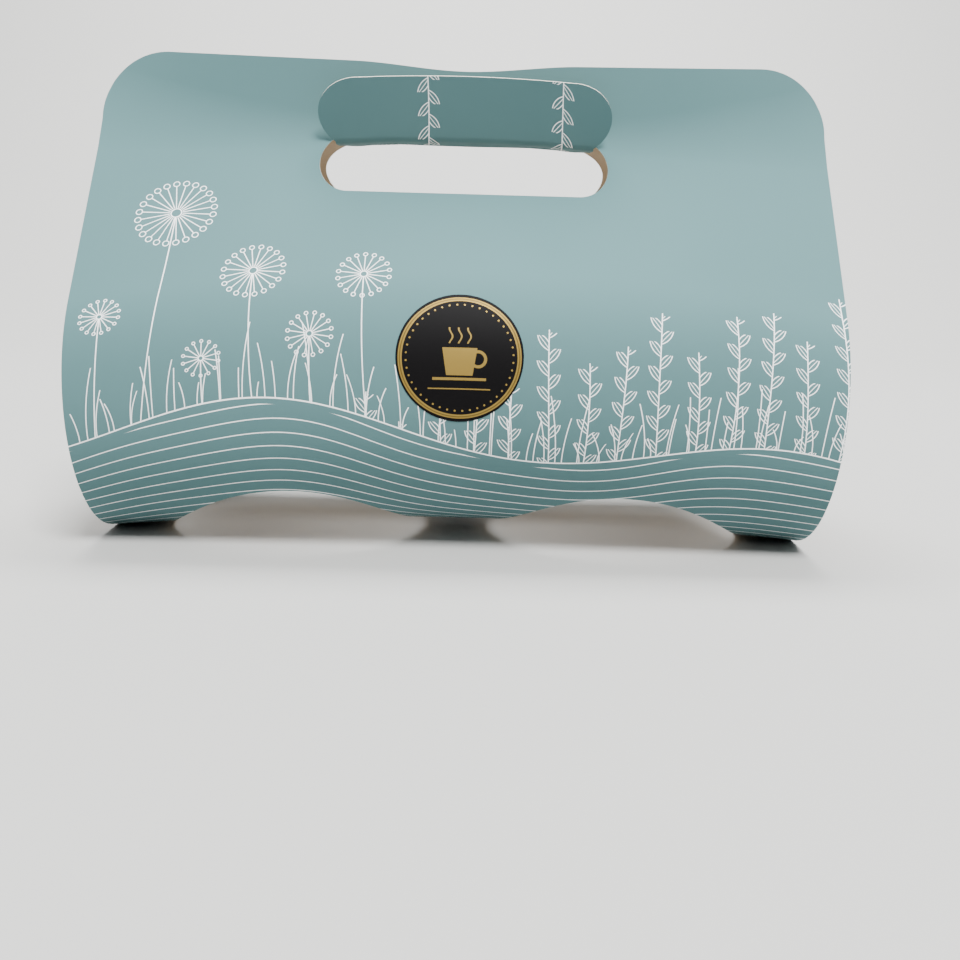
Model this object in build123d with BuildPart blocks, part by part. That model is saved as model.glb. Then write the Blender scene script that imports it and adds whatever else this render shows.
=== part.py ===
from build123d import *
import math
import os

# A carrier folded from one sheet of card: it hangs by a handle at the top,
# and has two round holes in the bottom of the bend.
# X runs along the carrier, the front faces -Y, and Z is up from the table.

# the card and its outline
card_thickness = 0.5
corner_radius = 23.5
shoulder_rise = 28.5     # from the crease to the top edge beside the round corners
brow_drop = 1.4          # lower than that where it starts to dip over the handle
brow_spacing = 84.0
dip = 2.8                # and lower again over the middle of the handle

# the bend, seen from the end
foot_width = 16.0        # flat strip that the empty carrier stands on
lower_bend_radius = 48.0
upper_bend_radius = 58.0
bend_change_angle = 45.0
middle_rise = 6.0        # the bottom arches up between the ends
crease_height = 148.5    # in the middle, where the handle bars start
crease_radius = 8.0      # beside the handle, where the bars are pinched together
end_crease_rise = 6.0    # the crease is higher at the ends, and softer
end_crease_radius = 80.0
end_crease_gap = 11.0    # between front and back at the crease, at the ends
bar_gap = 0.4            # between the two handle bars where they lie together

# the two round holes
cup_hole_diameter = 100.0  # in the flat card
bridge_width = 25.0        # of card between the two holes
end_band = 20.0            # of card outside each hole

# the handle
front_hole_length = 106.0
front_hole_height = 21.8
front_hole_lift = 1.0    # its top edge lies this far above the crease
flap_length = 107.6
flap_height = 30.2
flap_arch = 2.7          # its middle stands this much higher than its ends
flap_drop = 3.3          # the flap's fold lies this far below the crease
flap_shoulder = 1.4      # the fold crosses the round ends this far in
fold_radius = 0.45       # of the crushed crest where the card is folded over
flap_bend_radius = 3.0
flap_lean = 27.0         # degrees, its top tipped away from the front bar
hook_gap = 2.0           # between the front bar and the middle of the flap's card

# the round label
label_diameter = 43.0
label_thickness = 0.12
label_height = 72.2      # its centre, above the table
label_shift = 0.5
glue_gap = 0.02

half_card = card_thickness / 2
card_width = 2 * (cup_hole_diameter + end_band) + bridge_width
end = card_width / 2
middle = 0.0


def share_of_end(station):
    return (2 * station / card_width) ** 2


def foot_rise(station):
    return half_card + middle_rise * (1 - share_of_end(station))


def crease_point(station):
    share = share_of_end(station)
    height = crease_height + end_crease_rise * share
    near = (bar_gap + card_thickness) / 2
    out = near + (end_crease_gap / 2 - near) * share
    return Vector(-out, height)


def crease_bend(station):
    return crease_radius + (end_crease_radius - crease_radius) * share_of_end(station)


def upper_centre(station):
    turn = math.radians(bend_change_angle)
    change = lower_bend_radius - upper_bend_radius
    return Vector(
        -foot_width / 2 - change * math.sin(turn),
        foot_rise(station) + lower_bend_radius - change * math.cos(turn),
    )


def panel_angle(station):
    # the panel leaves the upper bend as a tangent that meets the crease
    reach = crease_point(station) - upper_centre(station)
    heading = math.atan2(-reach.X, -reach.Y) % (2 * math.pi)
    return heading - math.acos(upper_bend_radius / reach.length)


def along(angle):
    return Vector(-math.cos(angle), math.sin(angle))


def outward(angle):
    return Vector(-math.sin(angle), -math.cos(angle))


def front_points(station, offset):
    # the front half of the section, top edge first, moved out by the offset
    crease = crease_point(station)
    top = Vector(-(bar_gap + card_thickness) / 2, crease.Y + shoulder_rise)
    bar = math.atan2(top.Y - crease.Y, crease.X - top.X)
    panel = panel_angle(station)
    turn = math.radians(bend_change_angle)
    half_bar = (panel - bar) / 2
    radius = crease_bend(station)
    run = radius * math.tan(half_bar)
    bar_end = crease + along(bar) * run
    panel_end = crease - along(panel) * run
    hollow = bar_end + outward(bar) * radius
    upper = upper_centre(station)
    lower = Vector(-foot_width / 2, foot_rise(station) + lower_bend_radius)
    return [
        top + outward(bar) * offset,
        bar_end + outward(bar) * offset,
        hollow - outward(bar + half_bar) * (radius - offset),
        panel_end + outward(panel) * offset,
        upper + outward(panel) * (upper_bend_radius + offset),
        upper + outward((panel + turn) / 2) * (upper_bend_radius + offset),
        upper + outward(turn) * (upper_bend_radius + offset),
        lower + outward(turn / 2) * (lower_bend_radius + offset),
        lower + outward(0) * (lower_bend_radius + offset),
    ]


def fold_point(station):
    # on the back panel, where the flap turns back on itself
    fold = crease_point(station) - along(panel_angle(station)) * flap_drop
    return Vector(-fold.X, fold.Y)


def hook_point(station):
    # in front of the front bar and under the hole's edge, which the flap hooks round
    droop = flap_arch * (2 * station / flap_length) ** 2
    return Vector(
        crease_point(station).X - half_card - hook_gap,
        crease_point(middle).Y - card_thickness - droop,
    )


def flap_points(station, offset):
    fold = fold_point(station)
    hook = hook_point(station)
    reach = hook - fold
    low = math.atan2(reach.Y, -reach.X)
    high = math.radians(90 - flap_lean)
    run = flap_bend_radius * math.tan((high - low) / 2)
    rest = flap_height - reach.length + 2 * run - flap_bend_radius * (high - low)
    low_end = hook - along(low) * run
    high_end = hook + along(high) * run
    centre = high_end - outward(high) * flap_bend_radius
    bend = flap_bend_radius + offset
    return [
        fold + outward(low) * offset,
        low_end + outward(low) * offset,
        centre + outward((low + high) / 2) * bend,
        centre + outward(high) * bend,
        hook + along(high) * (rest + fold_radius) + outward(high) * offset,
    ]


def across(distance):
    # how far out a point of the flat card lies once the card is bent
    turn = math.radians(bend_change_angle)
    flat = foot_width / 2
    lower_length = lower_bend_radius * turn
    lower_turn = min(max(distance - flat, 0), lower_length) / lower_bend_radius
    upper_turn = turn + max(distance - flat - lower_length, 0) / upper_bend_radius
    return (
        min(distance, flat)
        + lower_bend_radius * math.sin(lower_turn)
        + upper_bend_radius * (math.sin(upper_turn) - math.sin(turn))
    )


def cup_hole_point(centre, angle):
    # the hole is round in the flat card, so the bend narrows it from front to back
    radius = cup_hole_diameter / 2
    reach = radius * math.sin(angle)
    return Vector(centre + radius * math.cos(angle), math.copysign(across(abs(reach)), reach))


def section_line(station, offset):
    # draws one face of the card from the front's top edge to the back's
    front = front_points(station, offset)
    back = [Vector(-point.X, point.Y) for point in front]
    for side in (front, back):
        Line(side[0], side[1])
        ThreePointArc(side[1], side[2], side[3])
        Line(side[3], side[4])
        ThreePointArc(side[4], side[5], side[6])
        ThreePointArc(side[6], side[7], side[8])
    Line(front[8], back[8])
    return front[0], back[0]


# two skins share the bend: the card itself, and the layer that the label is cut from
skins = []
for inside, outside in (
    (-half_card, half_card),
    (half_card + glue_gap, half_card + glue_gap + label_thickness),
):
    with BuildPart() as skin:
        for station in (-end, middle, end):
            with BuildSketch(Plane(origin=(station, 0, 0), x_dir=(0, 1, 0), z_dir=(1, 0, 0))):
                with BuildLine():
                    inner_front, inner_back = section_line(station, inside)
                    outer_front, outer_back = section_line(station, outside)
                    Line(inner_front, outer_front)
                    Line(inner_back, outer_back)
                make_face()
        loft()
    skins.append(skin.part)
card_skin, label_skin = skins

crease = crease_point(middle)
fold = fold_point(middle)
flap_foot = fold.Y - flap_shoulder
flap_top = flap_points(middle, half_card)[4].Y - fold_radius
flap_brow = flap_top - flap_arch / 2

with BuildPart() as flap:
    for station in (-flap_length / 2, middle, flap_length / 2):
        with BuildSketch(Plane(origin=(station, 0, 0), x_dir=(0, 1, 0), z_dir=(1, 0, 0))):
            with BuildLine():
                under = flap_points(station, half_card)
                over = flap_points(station, -half_card)
                for side in (under, over):
                    Line(side[0], side[1])
                    ThreePointArc(side[1], side[2], side[3])
                    Line(side[3], side[4])
                Line(under[0], over[0])
                Line(under[4], over[4])
            make_face()
    loft()
    for station in (-flap_length / 2, middle, flap_length / 2):
        with BuildSketch(Plane(origin=(station, 0, 0), x_dir=(0, 1, 0), z_dir=(1, 0, 0))):
            with Locations(fold_point(station)):
                RegularPolygon(fold_radius, 6)
    loft()
    end_radius = (flap_brow - flap_foot) / 2
    waist = flap_length / 2 - end_radius
    with BuildSketch(Plane.XZ):
        with BuildLine():
            side = Vector(flap_length / 2, flap_foot + end_radius)
            foot = Line((-waist, flap_foot), (waist, flap_foot))
            right = ThreePointArc(foot @ 1, side, (waist, flap_brow))
            crown = ThreePointArc(right @ 1, (0, flap_top), (-waist, flap_brow))
            ThreePointArc(crown @ 1, (-side.X, side.Y), foot @ 0)
        make_face()
    extrude(amount=flap_length, both=True, mode=Mode.INTERSECT)

with BuildPart() as carrier_sheet:
    add(card_skin)
    with BuildSketch(Plane.XZ) as outline:
        with BuildLine():
            shoulder = Vector(end, crease_height + shoulder_rise)
            brow = Vector(brow_spacing / 2, shoulder.Y - brow_drop)
            left = Line((-shoulder.X, shoulder.Y), (-brow.X, brow.Y))
            right = Line((brow.X, brow.Y), (shoulder.X, shoulder.Y))
            Spline(left @ 1, (0, brow.Y - dip), right @ 0, tangents=(left % 1, right % 0))
            Polyline(left @ 0, (-end, 0), (end, 0), right @ 1)
        make_face()
        fillet(outline.vertices().group_by(Axis.Y)[-1], corner_radius)
    extrude(amount=card_width, both=True, mode=Mode.INTERSECT)
    with BuildSketch():
        hole_centre = (bridge_width + cup_hole_diameter) / 2
        for centre in (-hole_centre, hole_centre):
            with BuildLine():
                rim = [cup_hole_point(centre, math.radians(turn)) for turn in range(0, 360, 15)]
                Spline(rim, periodic=True)
            make_face()
    extrude(amount=crease_height / 2, mode=Mode.SUBTRACT)
    with BuildSketch(Plane.XZ):
        with Locations((0, crease.Y + front_hole_lift - front_hole_height / 2)):
            SlotOverall(front_hole_length, front_hole_height)
    extrude(amount=card_width, mode=Mode.SUBTRACT)
    panel = panel_angle(middle)
    back_normal = Vector(0, math.sin(panel), -math.cos(panel))
    with BuildSketch(Plane(origin=(0, fold.X, fold.Y), x_dir=(-1, 0, 0), z_dir=back_normal)):
        with Locations((0, flap_shoulder - flap_height / 2)):
            SlotOverall(flap_length, flap_height)
        with Locations((0, -flap_height / 2)):
            Rectangle(flap_length, flap_height, mode=Mode.INTERSECT)
    extrude(amount=8 * card_thickness, both=True, mode=Mode.SUBTRACT)
    add(flap.part)

label_angle = math.acos((upper_centre(middle).Y - label_height) / upper_bend_radius)
label_spot = upper_centre(middle) + outward(label_angle) * upper_bend_radius
label_normal = Vector(0, -math.sin(label_angle), -math.cos(label_angle))

with BuildPart() as round_label:
    add(label_skin)
    with BuildSketch(Plane(origin=(label_shift, label_spot.X, label_spot.Y), z_dir=label_normal)):
        Circle(label_diameter / 2)
    extrude(amount=label_diameter / 2, both=True, mode=Mode.INTERSECT)

os.makedirs("parts", exist_ok=True)
carrier_sheet.part.label = "carrier_sheet"
export_step(carrier_sheet.part, "parts/carrier_sheet.step")
round_label.part.label = "round_label"
export_step(round_label.part, "parts/round_label.step")
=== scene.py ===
import math

import bpy
from mathutils import Matrix, Vector


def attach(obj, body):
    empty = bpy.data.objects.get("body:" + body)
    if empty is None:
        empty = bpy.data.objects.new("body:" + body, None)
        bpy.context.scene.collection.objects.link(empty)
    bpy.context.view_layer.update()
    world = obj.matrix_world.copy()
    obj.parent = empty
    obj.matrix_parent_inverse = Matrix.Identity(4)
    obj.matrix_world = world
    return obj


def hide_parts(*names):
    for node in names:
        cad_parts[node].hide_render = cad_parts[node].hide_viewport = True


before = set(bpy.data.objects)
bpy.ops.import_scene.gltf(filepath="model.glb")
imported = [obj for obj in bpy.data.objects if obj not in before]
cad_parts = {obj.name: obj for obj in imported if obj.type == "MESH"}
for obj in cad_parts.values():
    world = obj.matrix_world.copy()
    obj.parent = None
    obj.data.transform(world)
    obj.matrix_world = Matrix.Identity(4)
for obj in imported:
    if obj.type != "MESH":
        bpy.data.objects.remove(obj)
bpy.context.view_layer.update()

mm = 0.001
smoothAngle = math.radians(35)

# the folded card, seen from its end; lengths here and in the other dictionaries are in millimetres
card = {
    "width": 265.0,
    "thickness": 0.5,
    "footWidth": 16.0,
    "lowerBend": 48.0,
    "upperBend": 58.0,
    "bendChange": 45.0,      # degrees
    "middleRise": 6.0,
    "creaseMiddle": 148.5,
    "creaseEnd": 154.5,
    "barHeight": 28.0,
    "barGap": 0.4,
    "creaseBendMiddle": 8.0,
    "creaseBendEnd": 80.0,
    "creaseGapEnd": 11.0,
    "columns": 106,
    "rows": 190,
}
flatSpan = (300.0, 560.0)    # the UV square covers this much flat card
flapSpace = 12.0             # bare strip in that square between the board and the flap


def outward(angle):
    return Vector((-math.sin(angle), -math.cos(angle)))


def along(angle):
    return Vector((-math.cos(angle), math.sin(angle)))


def bendAt(share):
    # every length and angle of the front half at one station: share 0 is the middle, 1 the end
    half = card["thickness"] / 2
    turn = math.radians(card["bendChange"])
    rise = half + card["middleRise"] * (1 - share)
    near = (card["barGap"] + card["thickness"]) / 2
    out = near + (card["creaseGapEnd"] / 2 - near) * share
    creaseZ = card["creaseMiddle"] + (card["creaseEnd"] - card["creaseMiddle"]) * share
    crease = Vector((-out, creaseZ))
    change = card["lowerBend"] - card["upperBend"]
    lower = Vector((-card["footWidth"] / 2, rise + card["lowerBend"]))
    upper = lower - Vector((change * math.sin(turn), change * math.cos(turn)))
    reach = crease - upper
    panel = math.atan2(-reach.x, -reach.y) % (2 * math.pi) - math.acos(card["upperBend"] / reach.length)
    top = Vector((-near, creaseZ + card["barHeight"]))
    bar = math.atan2(top.y - crease.y, crease.x - top.x)
    bendRadius = card["creaseBendMiddle"] + (card["creaseBendEnd"] - card["creaseBendMiddle"]) * share
    run = bendRadius * math.tan((panel - bar) / 2)
    panelStart = upper + outward(panel) * card["upperBend"]
    panelEnd = crease - along(panel) * run
    barStart = crease + along(bar) * run
    hollow = barStart + outward(bar) * bendRadius
    return {
        "turn": turn, "panel": panel, "bar": bar, "lower": lower, "upper": upper,
        "crease": crease, "creaseBend": bendRadius, "panelStart": panelStart, "panelEnd": panelEnd,
        "barStart": barStart, "hollow": hollow, "top": top,
        "lengths": [
            card["footWidth"] / 2,
            card["lowerBend"] * turn,
            card["upperBend"] * (panel - turn),
            (panelEnd - panelStart).length,
            bendRadius * (panel - bar),
            (top - barStart).length,
        ],
    }


def bendPoint(bend, stretch, part, lift):
    # a point of one stretch of the half section: foot, lower bend, upper bend, panel, crease, bar
    if stretch == 0:
        return Vector((-part * card["footWidth"] / 2, bend["lower"].y - card["lowerBend"] - lift))
    if stretch == 1:
        return bend["lower"] + outward(part * bend["turn"]) * (card["lowerBend"] + lift)
    if stretch == 2:
        angle = bend["turn"] + part * (bend["panel"] - bend["turn"])
        return bend["upper"] + outward(angle) * (card["upperBend"] + lift)
    if stretch == 3:
        return bend["panelStart"].lerp(bend["panelEnd"], part) + outward(bend["panel"]) * lift
    if stretch == 4:
        angle = bend["panel"] + part * (bend["bar"] - bend["panel"])
        return bend["hollow"] - outward(angle) * (bend["creaseBend"] - lift)
    return bend["barStart"].lerp(bend["top"], part) + outward(bend["bar"]) * lift


middleBend = bendAt(0)
endBend = bendAt(1)
halfLength = sum(middleBend["lengths"])
flapShelf = halfLength + flapSpace     # the flap's part of the UV square starts here


def foldCard(x, distance, lift):
    # where a point of the flat card goes: distance runs from the foot, towards the front where positive
    left = abs(distance)
    stretch = 0
    while stretch < 5 and left > middleBend["lengths"][stretch]:
        left -= middleBend["lengths"][stretch]
        stretch += 1
    part = left / middleBend["lengths"][stretch]
    share = (2 * x / card["width"]) ** 2
    point = bendPoint(middleBend, stretch, part, lift).lerp(bendPoint(endBend, stretch, part, lift), share)
    side = 1 if distance >= 0 else -1
    return Vector((x, side * point.x, point.y))


# the hole in the front half, and the flap that is cut from the back half and folded through it
handle = {
    "frontLength": 106.0,
    "frontHeight": 21.8,
    "frontLift": 1.0,
    "length": 107.6,
    "height": 30.2,
    "shoulder": 1.4,
    "drop": 3.3,
    "arch": 2.7,
    "bend": 3.0,
    "lean": 27.0,            # degrees
    "hookGap": 2.0,
    "crest": 0.43,
    "foldRise": 1.2,         # the fold stands higher in its middle and sags near its ends
    "foldSag": 0.8,
    "foldReach": (26.0, 43.0),
    "foot": 143.9,           # heights of the flap's outline, seen from the front
    "tip": 167.5,
    "oval": 1.3,             # how much longer than round the ends of flap and back hole are
    "crestInset": 6.0,       # how far the crest stops short of the flap's ends
    "frontCutter": 60.0,     # depths of the blocks that cut the holes and the flap's outline
    "flatCutter": 4.0,
}


def foldRise(x):
    near, far = handle["foldReach"]
    part = min(max((far - abs(x)) / (far - near), 0), 1)
    part *= part * (3 - 2 * part)
    return (handle["foldRise"] + handle["foldSag"]) * part - handle["foldSag"]


def flapAt(x):
    # the flap's own bend: from the fold on the back panel, through the front hole and up
    bend = bendAt((2 * x / card["width"]) ** 2)
    fold = bend["crease"] - along(bend["panel"]) * (handle["drop"] - foldRise(x))
    fold = Vector((-fold.x, fold.y))
    half = card["thickness"] / 2
    hook = Vector((
        bend["crease"].x - half - handle["hookGap"],
        middleBend["crease"].y - card["thickness"] - handle["arch"] * (2 * x / handle["length"]) ** 2,
    ))
    reach = hook - fold
    low = math.atan2(reach.y, -reach.x)
    high = math.radians(90 - handle["lean"])
    run = handle["bend"] * math.tan((high - low) / 2)
    arc = handle["bend"] * (high - low)
    return {
        "fold": fold, "low": low, "high": high, "hook": hook, "run": run, "arc": arc,
        "first": reach.length - run,
        "centre": hook + along(high) * run - outward(high) * handle["bend"],
    }


def foldFlap(flap, distance, lift):
    if distance < flap["first"]:
        return flap["fold"] + along(flap["low"]) * distance + outward(flap["low"]) * lift
    distance -= flap["first"]
    if distance < flap["arc"]:
        angle = flap["low"] + distance / handle["bend"]
        return flap["centre"] + outward(angle) * (handle["bend"] + lift)
    distance -= flap["arc"]
    spot = flap["hook"] + along(flap["high"]) * (flap["run"] + distance)
    return spot + outward(flap["high"]) * lift


def deselectAll():
    if bpy.context.object and bpy.context.object.mode != "OBJECT":
        bpy.ops.object.mode_set(mode="OBJECT")
    bpy.ops.object.select_all(action="DESELECT")


def named(name):
    piece = bpy.context.object
    piece.name = name
    piece.data.name = name
    return piece


def pick(piece):
    deselectAll()
    piece.select_set(True)
    bpy.context.view_layer.objects.active = piece


def settle(piece):
    pick(piece)
    bpy.ops.object.transform_apply(location=True, rotation=True, scale=True)


def applyModifier(piece, modifier):
    pick(piece)
    bpy.ops.object.modifier_apply(modifier=modifier.name)


def flatGrid(name, width, height, columns, rows):
    # a flat blank in the middle of the workbench, its UV map in step with its cells
    deselectAll()
    bpy.ops.mesh.primitive_grid_add(x_subdivisions=columns, y_subdivisions=rows, size=1)
    piece = named(name)
    piece.scale = (width * mm, height * mm, 1)
    settle(piece)
    return piece


def mapFlat(piece, span, shift=0):
    # UV places from the flat blank: the UV square covers the span, and shift moves the blank along it
    for corner, spot in zip(piece.data.loops, piece.data.uv_layers.active.data):
        place = piece.data.vertices[corner.vertex_index].co / mm
        spot.uv = (place.x / span[0] + 0.5, (place.y + shift) / span[1] + 0.5)


def thicken(piece, thickness):
    # outside, inside and cut edge get material slots 0, 1 and 2
    wall = piece.modifiers.new("wall", "SOLIDIFY")
    wall.thickness = thickness * mm
    wall.offset = 0
    wall.material_offset = 1
    wall.material_offset_rim = 2
    applyModifier(piece, wall)


def reshape(piece, move):
    for corner in piece.data.vertices:
        corner.co = move(corner.co / mm) * mm
    piece.data.update()


def cut(piece, cutter, operation="DIFFERENCE"):
    for face in cutter.data.polygons:
        face.material_index = 2
    knife = piece.modifiers.new("cut", "BOOLEAN")
    knife.operation = operation
    knife.object = cutter
    knife.solver = "EXACT"
    applyModifier(piece, knife)
    bpy.data.objects.remove(cutter, do_unlink=True)


def dress(piece, finishes):
    piece.data.materials.clear()
    for finish in finishes:
        piece.data.materials.append(finish)


def pickEdges(piece, wanted):
    # in edit mode, with only the edges selected whose two ends pass the test
    pick(piece)
    bpy.ops.object.mode_set(mode="EDIT")
    bpy.ops.mesh.select_mode(type="EDGE")
    bpy.ops.mesh.select_all(action="DESELECT")
    bpy.ops.object.mode_set(mode="OBJECT")
    for line in piece.data.edges:
        line.select = wanted(*[piece.data.vertices[tip].co for tip in line.vertices])
    bpy.ops.object.mode_set(mode="EDIT")


def extrudeAll(piece, move):
    # turns a flat piece into a closed block
    pick(piece)
    bpy.ops.object.mode_set(mode="EDIT")
    bpy.ops.mesh.select_all(action="SELECT")
    bpy.ops.mesh.extrude_region_move(TRANSFORM_OT_translate={"value": move})
    bpy.ops.mesh.select_all(action="SELECT")
    bpy.ops.mesh.normals_make_consistent(inside=False)
    bpy.ops.object.mode_set(mode="OBJECT")


def slotBlock(length, height, depth, oval=1.0, top=None):
    # a block with round or oval ends, made from a circle whose halves are moved apart
    sides = 96
    deselectAll()
    bpy.ops.mesh.primitive_circle_add(
        vertices=sides, radius=height * mm / 2, fill_type="NGON", rotation=(0, 0, math.pi / sides),
    )
    block = named("slotBlock")
    settle(block)
    shift = (length - height * oval) / 2
    reshape(block, lambda spot: Vector((spot.x * oval + math.copysign(shift, spot.x), spot.y, 0)))
    pickEdges(block, lambda one, two: abs(one.x - two.x) > shift * mm)
    bpy.ops.mesh.subdivide(number_cuts=40)
    bpy.ops.object.mode_set(mode="OBJECT")
    if top is not None:
        reshape(block, lambda spot: Vector((spot.x, min(spot.y, top), 0)))
    extrudeAll(block, (0, 0, depth * mm))
    return block


class Signal:
    # a socket in a material; an expression on signals adds its Math nodes. A mark is a signal
    # that is 1 on a drawn line or inside a shape: over joins two marks, and * keeps their overlap
    def __init__(self, finish, socket):
        self.finish = finish
        self.socket = socket

    def maths(self, operation, *others):
        return self.finish.node("ShaderNodeMath", {"operation": operation}, [self, *others])

    def __add__(self, other):
        return self.maths("ADD", other)

    def __radd__(self, other):
        return self.maths("ADD", other)

    def __sub__(self, other):
        return self.maths("SUBTRACT", other)

    def __rsub__(self, other):
        return self.finish.node("ShaderNodeMath", {"operation": "SUBTRACT"}, [other, self])

    def __mul__(self, other):
        return self.maths("MULTIPLY", other)

    def __rmul__(self, other):
        return self.maths("MULTIPLY", other)

    def __truediv__(self, other):
        return self.maths("DIVIDE", other)

    def __abs__(self):
        return self.maths("ABSOLUTE")

    def __lt__(self, other):
        return self.maths("LESS_THAN", other)

    def __gt__(self, other):
        return self.maths("GREATER_THAN", other)

    def over(self, other):
        return self.maths("MAXIMUM", other)

    def stroke(self, width):
        # a mark along the line where the signal is zero, with a soft edge of an eighth of a millimetre
        soft = 1 / 8
        return self.finish.node(
            "ShaderNodeMath", {"operation": "MULTIPLY", "use_clamp": True},
            [(width / 2 + 0.06) - abs(self), 1 / soft],
        )


class Finish:
    def __init__(self, name):
        self.material = bpy.data.materials.new(name)
        self.material.use_nodes = True
        self.tree = self.material.node_tree
        self.shader = self.tree.nodes["Principled BSDF"]

    def node(self, kind, settings, sockets, output=0):
        made = self.tree.nodes.new(kind)
        for setting, value in settings.items():
            setattr(made, setting, value)
        pairs = sockets.items() if isinstance(sockets, dict) else enumerate(sockets)
        for key, value in pairs:
            if isinstance(value, Signal):
                self.tree.links.new(value.socket, made.inputs[key])
            else:
                made.inputs[key].default_value = value
        return Signal(self, made.outputs[output])

    def mix(self, first, second, factor):
        settings = {"data_type": "RGBA"}
        return self.node("ShaderNodeMix", settings, {0: factor, 6: first, 7: second}, 2)

    def noise(self, scale, detail=4, roughness=0.5, place=None):
        place = place or self.node("ShaderNodeTexCoord", {}, {}, "Object")
        sockets = {"Vector": place, "Scale": scale, "Detail": detail, "Roughness": roughness}
        return self.node("ShaderNodeTexNoise", {}, sockets)

    def set(self, socket, value):
        if isinstance(value, Signal):
            self.tree.links.new(value.socket, self.shader.inputs[socket])
        else:
            self.shader.inputs[socket].default_value = value

    def bump(self, height, strength, distance):
        sockets = {"Height": height, "Strength": strength, "Distance": distance}
        self.set("Normal", self.node("ShaderNodeBump", {}, sockets))

    def flatPlace(self, width, height):
        # the spot on the flat piece in millimetres from the middle of its UV square
        square = self.node("ShaderNodeUVMap", {}, {})
        split = self.node("ShaderNodeSeparateXYZ", {}, [square])
        across = (split - 0.5) * width
        away = (Signal(self, split.socket.node.outputs[1]) - 0.5) * height
        return across, away


def colour(red, green, blue):
    # screen values from 0 to 255 into the linear values that a shader takes
    def linear(value):
        value /= 255
        return value / 12.92 if value <= 0.04045 else ((value + 0.055) / 1.055) ** 2.4
    return (linear(red), linear(green), linear(blue), 1)


printLook = {
    "ground": colour(83, 115, 117),
    "cloud": colour(79, 110, 112),
    "cloudNoise": (9, 3),        # scale and detail, as in the other noises
    "cloudGain": (2.0, -0.6),    # times, plus
    "roughness": 0.62,
    "roughnessVary": 0.08,
    "roughnessNoise": (60, 3),
    "grainNoise": (900, 2),
    "grainBump": (0.05, 0.0002),     # strength, distance
    "gloss": 0.05,
    "line": colour(250, 252, 252),
    "stroke": 0.38,              # the other strokes are shares of this one
    "stemSpacing": 12.5,
    "stemSway": (0.06, 1.9, 0.9),    # radians per millimetre, radians per stem, swing
    # the stems' tips below the top edge: in the middle, the change along the card, and from stem to stem
    "stemTop": 132.0,
    "stemSlope": 0.30,
    "stemVary": (2.3, 9.0),      # radians per stem, height
    "leafSpacing": 8.6,
    "leafStagger": 0.25,         # share of the spacing that a stem's two sides are moved up and down
    "leafLength": 7.6,
    "leafWidth": 2.5,
    "leafLean": 38.0,            # degrees
    "leafRoot": 1.2,             # how far a leaf starts before its stem's middle
    "leafStroke": 0.85,
    "ribStroke": 0.6,
    "ribInset": 0.35,
    "leafStart": 1.0,            # below the stem's tip
    # seed heads: across, below the top edge, radius, number of rays
    "seedHeads": [
        (-101.0, 62.0, 14.0, 24),
        (-71.0, 90.0, 11.0, 20),
        (-121.0, 102.0, 7.0, 16),
        (-86.0, 122.0, 6.5, 14),
        (-50.0, 116.0, 8.0, 16),
        (-33.0, 94.0, 9.5, 18),
    ],
    "heart": 0.13,               # the parts of a seed head are shares of its radius
    "rays": (0.16, 0.86),
    "seedRing": 0.93,
    "seed": 0.075,
    "seedStroke": 0.8,
    "stalkBow": 0.0009,
    "stalkLine": -90.0,          # the stalks lean away from this place along the card
    # blades of grass: spacing, tallest, where the row starts
    "grass": [(7.6, 30.0, 0.0), (6.1, 21.0, 2.9)],
    # their heights as shares of the tallest: the middle height, and sines of radians per blade
    "grassHeight": 0.62,
    "grassVary": [(1.7, 0.24), (0.61, 0.14)],
    "grassBow": (2.9, 0.42),     # radians per blade, share of the spacing
    "grassStroke": 0.9,
    # the ridge of the hills below the top edge, and its waves: radians per millimetre, start, height
    "ridge": 150.0,
    "ridgeWaves": [(0.034, 0.7, 9.0), (0.011, 0.0, 6.0)],
    "ridgeStroke": 1.4,
    "contourSpacing": 5.2,
    "contourWave": (0.09, 0.9),
    "contourStart": 2.2,
    # the two stems on the flap: middle and half width of the strip that each one has
    "flapStems": [(-14.25, 6.25), (35.75, 6.25)],
    "flapShift": (8.0, 150.0),
    "flapFloor": 400.0,          # below the flap, so that its stems run through it
}


def leafyStems(across, depth, floor):
    # upright stems with leaves on both sides; each stem has its own height and sway
    step = printLook["stemSpacing"]
    stroke = printLook["stroke"]
    cell = (across / step).maths("FLOOR")
    rate, offset, swing = printLook["stemSway"]
    sway = (depth * rate + cell * offset).maths("SINE") * swing
    fromStem = across - (cell + 0.5) * step - sway
    tip = printLook["stemTop"] - (cell + 0.5) * (step * printLook["stemSlope"])
    rate, height = printLook["stemVary"]
    tip = tip + (cell * rate).maths("SINE") * height
    stem = fromStem.stroke(stroke) * ((depth > tip) * (depth < floor))
    # leaves alternate from side to side, and each is the space between two arcs
    gap = printLook["leafSpacing"]
    run = (depth - tip) / gap + fromStem.maths("SIGN") * printLook["leafStagger"]
    within = (run.maths("FRACT") - 0.5) * (-gap)
    beside = abs(fromStem)
    lean = math.radians(printLook["leafLean"])
    halfLong = printLook["leafLength"] / 2
    halfWide = printLook["leafWidth"] / 2
    forward = beside * math.sin(lean) + within * math.cos(lean) - halfLong + printLook["leafRoot"]
    aside = beside * math.cos(lean) - within * math.sin(lean)
    arc = (halfLong ** 2 + halfWide ** 2) / (2 * halfWide)
    off = abs(aside) + (arc - halfWide)
    blade = (forward * forward + off * off).maths("SQRT") - arc
    edge = blade.stroke(stroke * printLook["leafStroke"])
    rib = aside.stroke(stroke * printLook["ribStroke"]) * (blade < -printLook["ribInset"])
    leaves = edge.over(rib) * ((depth > tip + printLook["leafStart"]) * (depth < floor))
    return stem.over(leaves)


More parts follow.
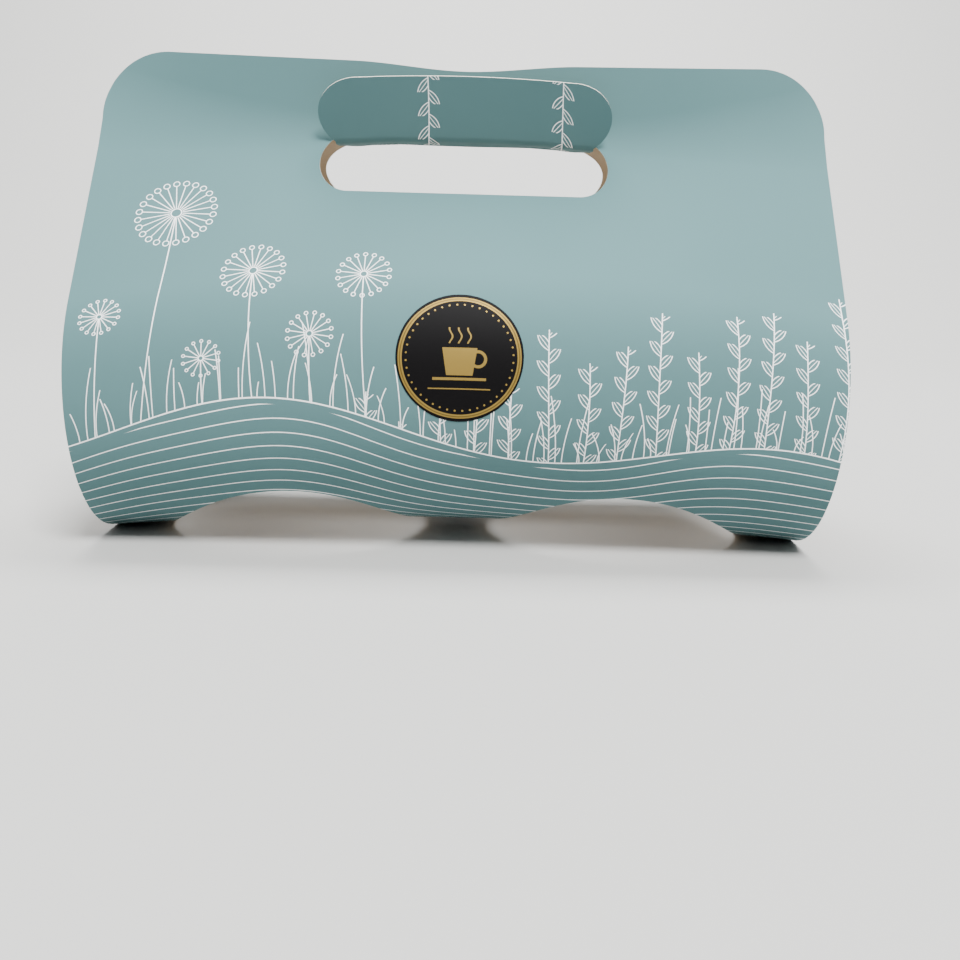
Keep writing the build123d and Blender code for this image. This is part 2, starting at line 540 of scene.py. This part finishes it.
def grassBlades(across, depth, floor, spacing, tallest, start):
    # a row of bowed blades that stand on the hills; sines of its number give each its height and bow
    cell = ((across - start) / spacing).maths("FLOOR")
    height = tallest * printLook["grassHeight"]
    for rate, share in printLook["grassVary"]:
        height = (cell * rate).maths("SINE") * (tallest * share) + height
    up = (floor - depth) / height
    rate, share = printLook["grassBow"]
    bow = (cell * rate).maths("SINE") * (spacing * share)
    blade = across - start - (cell + 0.5) * spacing - bow * up * up
    return blade.stroke(printLook["stroke"] * printLook["grassStroke"]) * ((up > 0) * (up < 1))


def seedHead(across, depth, spot):
    # rays from a small heart to a ring of round seeds, on a bowed stalk
    x, y, radius, rays = spot
    stroke = printLook["stroke"]
    fine = stroke * printLook["seedStroke"]
    first, last = printLook["rays"]
    heartSize = radius * printLook["heart"]
    right = across - x
    down = depth - y
    away = (right * right + down * down).maths("SQRT")
    turn = down.maths("ARCTAN2", right) * (rays / (2 * math.pi))
    swing = (turn.maths("FRACT") - 0.5) * (2 * math.pi / rays) * away
    ray = swing.stroke(fine) * ((away > radius * first) * (away < radius * last))
    ring = away - radius * printLook["seedRing"]
    seed = (swing * swing + ring * ring).maths("SQRT") - radius * printLook["seed"]
    heart = (away - heartSize).stroke(stroke)
    lean = math.copysign(printLook["stalkBow"], x - printLook["stalkLine"])
    stalk = (right - down * down * lean).stroke(stroke) * (down > heartSize)
    return ray.over(seed.stroke(fine)).over(heart).over(stalk)


def hills(across, depth):
    # contour lines low on the panels, kept below a rolling ridge
    ridge = printLook["ridge"]
    for rate, start, height in printLook["ridgeWaves"]:
        ridge = (across * rate + start).maths("SINE") * height + ridge
    below = depth - ridge
    rate, height = printLook["contourWave"]
    spacing = printLook["contourSpacing"]
    wave = below + (across * rate).maths("SINE") * height
    band = ((wave / spacing).maths("FRACT") - 0.5) * spacing
    lines = band.stroke(printLook["stroke"]) * (below > printLook["contourStart"])
    return lines.over(below.stroke(printLook["stroke"] * printLook["ridgeStroke"])), ridge


def flapPrint(across, away):
    # two of the leafy stems, each in its own strip of the flap
    right, down = printLook["flapShift"]
    stems = leafyStems(across + right, away - flapShelf + down, printLook["flapFloor"])
    (first, firstHalf), (second, secondHalf) = printLook["flapStems"]
    strips = (abs(across - first) < firstHalf).over(abs(across - second) < secondHalf)
    return stems * strips


def printedCard():
    finish = Finish("printed card")
    across, away = finish.flatPlace(*flatSpan)
    onFlap = away > flapShelf - flapSpace / 2
    depth = halfLength - abs(away)
    contours, ridge = hills(across, depth)
    art = contours.over(leafyStems(across, depth, ridge))
    for spacing, tallest, start in printLook["grass"]:
        art = art.over(grassBlades(across, depth, ridge, spacing, tallest, start))
    for spot in printLook["seedHeads"]:
        art = art.over(seedHead(across, depth, spot) * (depth < ridge))
    art = (art * (1 - onFlap)).over(flapPrint(across, away) * onFlap)
    clouded = finish.node(
        "ShaderNodeMath", {"operation": "MULTIPLY_ADD", "use_clamp": True},
        [finish.noise(*printLook["cloudNoise"]), *printLook["cloudGain"]],
    )
    ground = finish.mix(printLook["ground"], printLook["cloud"], clouded)
    finish.set("Base Color", finish.mix(ground, printLook["line"], art))
    vary = printLook["roughnessVary"]
    rough = finish.noise(*printLook["roughnessNoise"]) * vary + (printLook["roughness"] - vary / 2)
    finish.set("Roughness", rough)
    finish.set("Specular IOR Level", printLook["gloss"])
    finish.bump(finish.noise(*printLook["grainNoise"]), *printLook["grainBump"])
    return finish.material


kraftLook = {
    "pale": colour(196, 176, 148),
    "fibre": colour(171, 151, 124),
    "cloud": colour(202, 183, 156),
    "cloudNoise": (30, 3),       # scale, detail
    "cloudShare": 0.45,
    "stretch": (1, 3.5, 3.5),    # the fibres run along the card
    "fibreNoise": (420, 5, 0.65),    # scale, detail, roughness
    "fibreBump": (0.12, 0.0003),     # strength, distance
    "roughness": 0.86,
}


def kraftSide():
    finish = Finish("kraft inside")
    place = finish.node("ShaderNodeTexCoord", {}, {}, "Object")
    stretched = finish.node("ShaderNodeMapping", {}, {"Vector": place, "Scale": kraftLook["stretch"]})
    fibre = finish.noise(*kraftLook["fibreNoise"], stretched)
    tone = finish.mix(kraftLook["pale"], kraftLook["fibre"], fibre)
    clouded = finish.noise(*kraftLook["cloudNoise"]) * kraftLook["cloudShare"]
    finish.set("Base Color", finish.mix(tone, kraftLook["cloud"], clouded))
    finish.set("Roughness", kraftLook["roughness"])
    finish.bump(fibre, *kraftLook["fibreBump"])
    return finish.material


edgeLook = {
    "pale": colour(226, 226, 216),
    "fibre": colour(200, 197, 184),
    "fibreNoise": (1500, 3),
    "roughness": 0.9,
}


def cutEdge():
    finish = Finish("cut edge")
    fibre = finish.noise(*edgeLook["fibreNoise"])
    finish.set("Base Color", finish.mix(edgeLook["pale"], edgeLook["fibre"], fibre))
    finish.set("Roughness", edgeLook["roughness"])
    return finish.material


sticker = {
    "diameter": 43.0,
    "thickness": 0.12,
    "glue": 0.02,
    "height": 72.2,
    "shift": 0.5,
    "cells": 48,
    "margin": 2.0,           # spare paper all round the blank
    "cutter": 40.0,
}
stickerLook = {
    "black": colour(8, 7, 8),
    "gold": colour(136, 113, 56),
    "goldShade": colour(98, 79, 36),
    "roughness": 0.58,
    "goldPolish": 0.14,      # how much less rough the gold is
    "goldMetal": 0.35,
    "gloss": 0.08,
    # heights are from the middle of the label
    "rim": 0.75,             # black outside the gold ring
    "ring": 1.35,
    "ringShade": (0.05, 0.35),           # outwards, share of the ring
    "dots": 44,
    "dotRadius": 0.34,
    "dotInset": 2.0,
    "mugHalf": (5.4, 4.6),               # half width, half height
    "mugHeight": -1.5,
    "mugFlare": 0.16,
    "ear": (6.2, -0.6, 2.5, 1.0),        # across, height, radius, stroke
    "saucer": (-7.3, 0.45, 9.0),         # height, half thickness, half length
    "rule": (-10.6, 0.2, 10.5),
    "steamHeight": (7.2, 2.7),           # middle, half height
    "steamSpacing": 3.1,
    "steamHalf": 4.6,
    "steamWave": (1.15, 0.55),           # radians per millimetre, swing
    "steamStroke": 0.55,
}


def labelBar(x, y, bar):
    height, halfThickness, halfLong = bar
    return (abs(y - height) < halfThickness) * (abs(x) < halfLong)


def steamWisps(x, y):
    rate, swing = stickerLook["steamWave"]
    spacing = stickerLook["steamSpacing"]
    middleHeight, halfHeight = stickerLook["steamHeight"]
    wave = (y * rate).maths("SINE") * swing
    wisps = (((x - wave) / spacing + 0.5).maths("FRACT") - 0.5) * spacing
    inside = (abs(x) < stickerLook["steamHalf"]) * (abs(y - middleHeight) < halfHeight)
    return wisps.stroke(stickerLook["steamStroke"]) * inside


def labelPaper():
    finish = Finish("label paper")
    x, y = finish.flatPlace(sticker["diameter"], sticker["diameter"])
    away = (x * x + y * y).maths("SQRT")
    ring = stickerLook["ring"]
    ringAt = sticker["diameter"] / 2 - stickerLook["rim"] - ring / 2
    gold = (away - ringAt).stroke(ring)
    shadeOut, shadeShare = stickerLook["ringShade"]
    shade = (away - ringAt - shadeOut).stroke(ring * shadeShare)
    # a flared mug with one ear, on a saucer
    halfWide, halfTall = stickerLook["mugHalf"]
    wall = abs(x) - (y * stickerLook["mugFlare"] + halfWide)
    gold = gold.over((wall < 0) * (abs(y - stickerLook["mugHeight"]) < halfTall))
    earX, earY, earRadius, earStroke = stickerLook["ear"]
    ear = ((x - earX) * (x - earX) + (y - earY) * (y - earY)).maths("SQRT") - earRadius
    gold = gold.over(ear.stroke(earStroke) * (wall > 0))
    for bar in (stickerLook["saucer"], stickerLook["rule"]):
        gold = gold.over(labelBar(x, y, bar))
    gold = gold.over(steamWisps(x, y))
    # dots inside the ring
    dots = stickerLook["dots"]
    turn = y.maths("ARCTAN2", x) * (dots / (2 * math.pi))
    swing = (turn.maths("FRACT") - 0.5) * (2 * math.pi / dots) * away
    dotRing = away - (ringAt - stickerLook["dotInset"])
    gold = gold.over((swing * swing + dotRing * dotRing).maths("SQRT") < stickerLook["dotRadius"])
    metal = finish.mix(stickerLook["gold"], stickerLook["goldShade"], shade)
    finish.set("Base Color", finish.mix(stickerLook["black"], metal, gold))
    finish.set("Roughness", stickerLook["roughness"] - gold * stickerLook["goldPolish"])
    finish.set("Metallic", gold * stickerLook["goldMetal"])
    finish.set("Specular IOR Level", stickerLook["gloss"])
    return finish.material


# the top edge: its height beside the corners, where it starts to dip, and over the handle
outline = {
    "shoulder": 177.0,
    "brow": 175.6,
    "browX": 42.0,
    "dip": 172.8,
    "cornerRadius": 23.5,
    "columns": 180,
    "trimTop": 230.0,        # the block that trims the top edge: its upper side and its depth
    "trimDepth": 120.0,
}


def cornerHeight(x):
    # the top edge of the card above a place along it
    end = card["width"] / 2
    x = min(abs(x), end)
    slope = (outline["shoulder"] - outline["brow"]) / (end - outline["browX"])
    if x < outline["browX"]:
        t = x / outline["browX"]
        rise = outline["brow"] - outline["dip"]
        height = outline["dip"] + rise * t * t * (3 - 2 * t) + slope * outline["browX"] * t * t * (t - 1)
    else:
        height = outline["brow"] + slope * (x - outline["browX"])
    into = x - (end - outline["cornerRadius"])
    if into > 0:
        radius = outline["cornerRadius"]
        height -= radius - math.sqrt(max(radius ** 2 - into ** 2, 0))
    return height


def topTrim():
    # everything above the top edge: a flat grid whose lower row follows the edge
    block = flatGrid("topTrim", 1, 1, outline["columns"], 1)
    end = card["width"] / 2
    depth = outline["trimDepth"]

    def follow(spot):
        turn = spot.x * math.pi
        x = end * math.sin(turn)
        if abs(spot.x) > 0.4999:     # the grid's two ends stand past the card's
            x = math.copysign(end + 1, spot.x)
        z = cornerHeight(x) if spot.y < 0 else outline["trimTop"]
        return Vector((x, -depth / 2, z))

    reshape(block, follow)
    extrudeAll(block, (0, depth * mm, 0))
    return block


cupHoles = {"diameter": 100.0, "spacing": 125.0, "cutter": 20.0}


def makeBoard(finishes):
    board = flatGrid("carrierCard", card["width"], 2 * halfLength, card["columns"], card["rows"])
    dress(board, finishes)
    mapFlat(board, flatSpan)
    thicken(board, card["thickness"])
    for side in (-1, 1):
        deselectAll()
        bpy.ops.mesh.primitive_cylinder_add(
            vertices=128, radius=cupHoles["diameter"] / 2 * mm, depth=cupHoles["cutter"] * mm,
            location=(side * cupHoles["spacing"] / 2 * mm, 0, 0),
        )
        cut(board, named("holeCutter"))
    reshape(board, lambda spot: foldCard(spot.x, spot.y, spot.z))
    cut(board, topTrim())
    front = slotBlock(handle["frontLength"], handle["frontHeight"], handle["frontCutter"])
    hole = card["creaseMiddle"] + handle["frontLift"] - handle["frontHeight"] / 2
    front.matrix_world = Matrix.Translation((0, 0, hole * mm)) @ Matrix.Rotation(math.radians(90), 4, "X")
    settle(front)
    cut(board, front)
    top = handle["height"] / 2 - handle["shoulder"]
    back = slotBlock(handle["length"], handle["height"], handle["flatCutter"], handle["oval"], top)

    def underFold(spot):
        rise = foldRise(spot.x) * max(spot.y / top, 0)
        return Vector((spot.x, spot.y + rise, spot.z))

    reshape(back, underFold)
    fold = flapAt(0)["fold"]
    place = Matrix.Translation(Vector((0, fold.x, fold.y)) * mm)
    tilt = Matrix.Rotation(middleBend["panel"], 4, "X")
    inset = Matrix.Translation((0, -top * mm, -handle["flatCutter"] / 2 * mm))
    back.matrix_world = place @ tilt @ inset
    settle(back)
    cut(board, back)
    return board


def makeFlap(finishes):
    # the blank is cut while it is flat, so its edges stand square on the card, and folded then
    length = handle["height"] + handle["crest"]
    flap = flatGrid("flap", handle["length"], length, 60, 60)
    dress(flap, finishes)
    mapFlat(flap, flatSpan, flapShelf + length / 2)
    thicken(flap, card["thickness"])
    height = handle["tip"] - handle["foot"]
    straight = (handle["length"] - height * handle["oval"]) / 2

    def layFlat(spot):
        # the outline as the front view shows it, with an arched upper edge, laid out on the flat card
        part = min(abs(spot.x) / straight, 1)
        arch = handle["arch"] / 2 * (1 - part ** 2) if spot.y > height / 2 - 0.01 else 0
        wanted = (handle["tip"] + handle["foot"]) / 2 + spot.y + arch
        bend = flapAt(spot.x)
        near, far = -20, length + 20
        for halving in range(30):
            middle = (near + far) / 2
            if foldFlap(bend, middle, 0).y < wanted:
                near = middle
            else:
                far = middle
        return Vector((spot.x, near - length / 2, spot.z - handle["flatCutter"] / 2))

    outlineBlock = slotBlock(handle["length"], height, handle["flatCutter"], handle["oval"])
    reshape(outlineBlock, layFlat)
    cut(flap, outlineBlock, "INTERSECT")

    def hookOver(spot):
        point = foldFlap(flapAt(spot.x), spot.y + length / 2, spot.z)
        return Vector((spot.x, point.x, point.y))

    reshape(flap, hookOver)
    return flap


def makeCrest(finishes):
    # the rolled edge where the flap turns back on itself
    deselectAll()
    bpy.ops.mesh.primitive_cylinder_add(
        vertices=12, radius=handle["crest"] * mm, rotation=(0, math.pi / 2, 0),
        depth=(handle["length"] - 2 * handle["crestInset"]) * mm,
    )
    crest = named("crest")
    dress(crest, finishes)
    settle(crest)
    bpy.ops.object.mode_set(mode="EDIT")
    bpy.ops.mesh.select_all(action="SELECT")
    bpy.ops.mesh.subdivide(number_cuts=3)
    bpy.ops.object.mode_set(mode="OBJECT")

    def follow(spot):
        fold = flapAt(spot.x)["fold"]
        return Vector((spot.x, spot.y + fold.x, spot.z + fold.y))

    reshape(crest, follow)
    return crest


def makeCarrier(finishes):
    board = makeBoard(finishes)
    flap = makeFlap(finishes)
    crest = makeCrest(finishes)
    deselectAll()
    for piece in (board, flap, crest):
        piece.select_set(True)
    bpy.context.view_layer.objects.active = board
    bpy.ops.object.join()
    bpy.ops.object.shade_smooth_by_angle(angle=smoothAngle)
    return board


def makeLabel(finish):
    size = sticker["diameter"] + 2 * sticker["margin"]
    label = flatGrid("roundLabel", size, size, sticker["cells"], sticker["cells"])
    lift = card["thickness"] / 2 + sticker["glue"] + sticker["thickness"] / 2
    bend = middleBend
    angle = math.acos((bend["upper"].y - sticker["height"]) / card["upperBend"])
    centre = sum(bend["lengths"][:2]) + card["upperBend"] * (angle - bend["turn"])
    mapFlat(label, (sticker["diameter"], sticker["diameter"]))
    thicken(label, sticker["thickness"])
    reshape(label, lambda spot: foldCard(spot.x + sticker["shift"], centre + spot.y, spot.z + lift))
    deselectAll()
    bpy.ops.mesh.primitive_cylinder_add(
        vertices=128, radius=sticker["diameter"] / 2 * mm, depth=sticker["cutter"] * mm,
    )
    ringCutter = named("labelCutter")
    middle = foldCard(sticker["shift"], centre, 0)
    ringCutter.matrix_world = Matrix.Translation(middle * mm) @ Matrix.Rotation(math.pi - angle, 4, "X")
    settle(ringCutter)
    cut(label, ringCutter, "INTERSECT")
    dress(label, [finish])
    for face in label.data.polygons:
        face.material_index = 0
    pick(label)
    bpy.ops.object.shade_smooth_by_angle(angle=smoothAngle)
    return label


carrier = makeCarrier([printedCard(), kraftSide(), cutEdge()])
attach(carrier, "root")
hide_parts("carrier_sheet")
print("carrier card folded:", len(carrier.data.polygons), "faces")

label = makeLabel(labelPaper())
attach(label, "root")
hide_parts("round_label")
print("round label laid on:", len(label.data.polygons), "faces")

studio = {
    "paper": colour(166, 166, 164),
    "roughness": 0.95,
    "paperSize": (14.0, 9.0),    # metres, and all other lengths of the studio too
    "paperShift": -2.4,
    "wall": 3.4,
    "curve": (1.3, 24),          # radius, steps
    "world": 1.25,
    # name: place, aim, size, watts
    "lamps": {
        "key": ((0.52, -1.28, 2.09), (0, 0, 0.12), 0.75, 162),
        "ceiling": ((0, -2, 4), (0, -2, 0), 14, 530),
        "backdropLamp": ((0, 0.7, 2.3), (0, 1.8, 0.9), 1.6, 190),
    },
}

# a sheet of studio paper that curves up behind the object
deselectAll()
bpy.ops.mesh.primitive_plane_add(size=1, location=(0, studio["paperShift"], 0))
floor = named("studioPaper")
floor.scale = (*studio["paperSize"], 1)
settle(floor)
pickEdges(floor, lambda one, two: min(one.y, two.y) > 1)
bpy.ops.mesh.extrude_region_move(TRANSFORM_OT_translate={"value": (0, 0, studio["wall"])})
pickEdges(floor, lambda one, two: min(one.y, two.y) > 1 and max(one.z, two.z) < 0.1)
curve, steps = studio["curve"]
bpy.ops.mesh.bevel(offset=curve, segments=steps)
bpy.ops.object.mode_set(mode="OBJECT")
bpy.ops.object.shade_smooth()
paper = Finish("studio paper")
paper.set("Base Color", studio["paper"])
paper.set("Roughness", studio["roughness"])
dress(floor, [paper.material])

for name, (place, aim, size, watts) in studio["lamps"].items():
    deselectAll()
    bpy.ops.object.light_add(type="AREA", location=place)
    lamp = bpy.context.object
    lamp.name = name
    lamp.data.size = size
    lamp.data.energy = watts
    lamp.rotation_euler = (Vector(aim) - Vector(place)).to_track_quat("-Z", "Y").to_euler()

world = bpy.data.worlds.new("studio")
bpy.context.scene.world = world
world.use_nodes = True
world.node_tree.nodes["Background"].inputs["Color"].default_value = (1, 1, 1, 1)
world.node_tree.nodes["Background"].inputs["Strength"].default_value = studio["world"]
# the pale room beyond the paper is seen, and the lamps alone give the light
world.cycles_visibility.diffuse = False
world.cycles_visibility.glossy = False

camera = {
    "focal": 990.0,          # pixels
    "frame": 960,
    "sensor": 36,
    "place": (4.5, -390.8, 99.7),
    "down": 11.77,           # degrees
    "right": 0.675,
    "roll": 1.56,
}
deselectAll()
bpy.ops.object.camera_add(location=Vector(camera["place"]) * mm)
eye = bpy.context.object
eye.name = "photoCamera"
eye.data.sensor_width = camera["sensor"]
eye.data.lens = camera["focal"] * camera["sensor"] / camera["frame"]
eye.data.clip_start = 0.01
level = Matrix.Rotation(-math.radians(camera["right"]), 4, "Z")
tilt = Matrix.Rotation(math.radians(90 - camera["down"]), 4, "X")
roll = Matrix.Rotation(math.radians(camera["roll"]), 4, "Z")
eye.rotation_euler = (level @ tilt @ roll).to_euler()
bpy.context.scene.camera = eye
print("studio set")
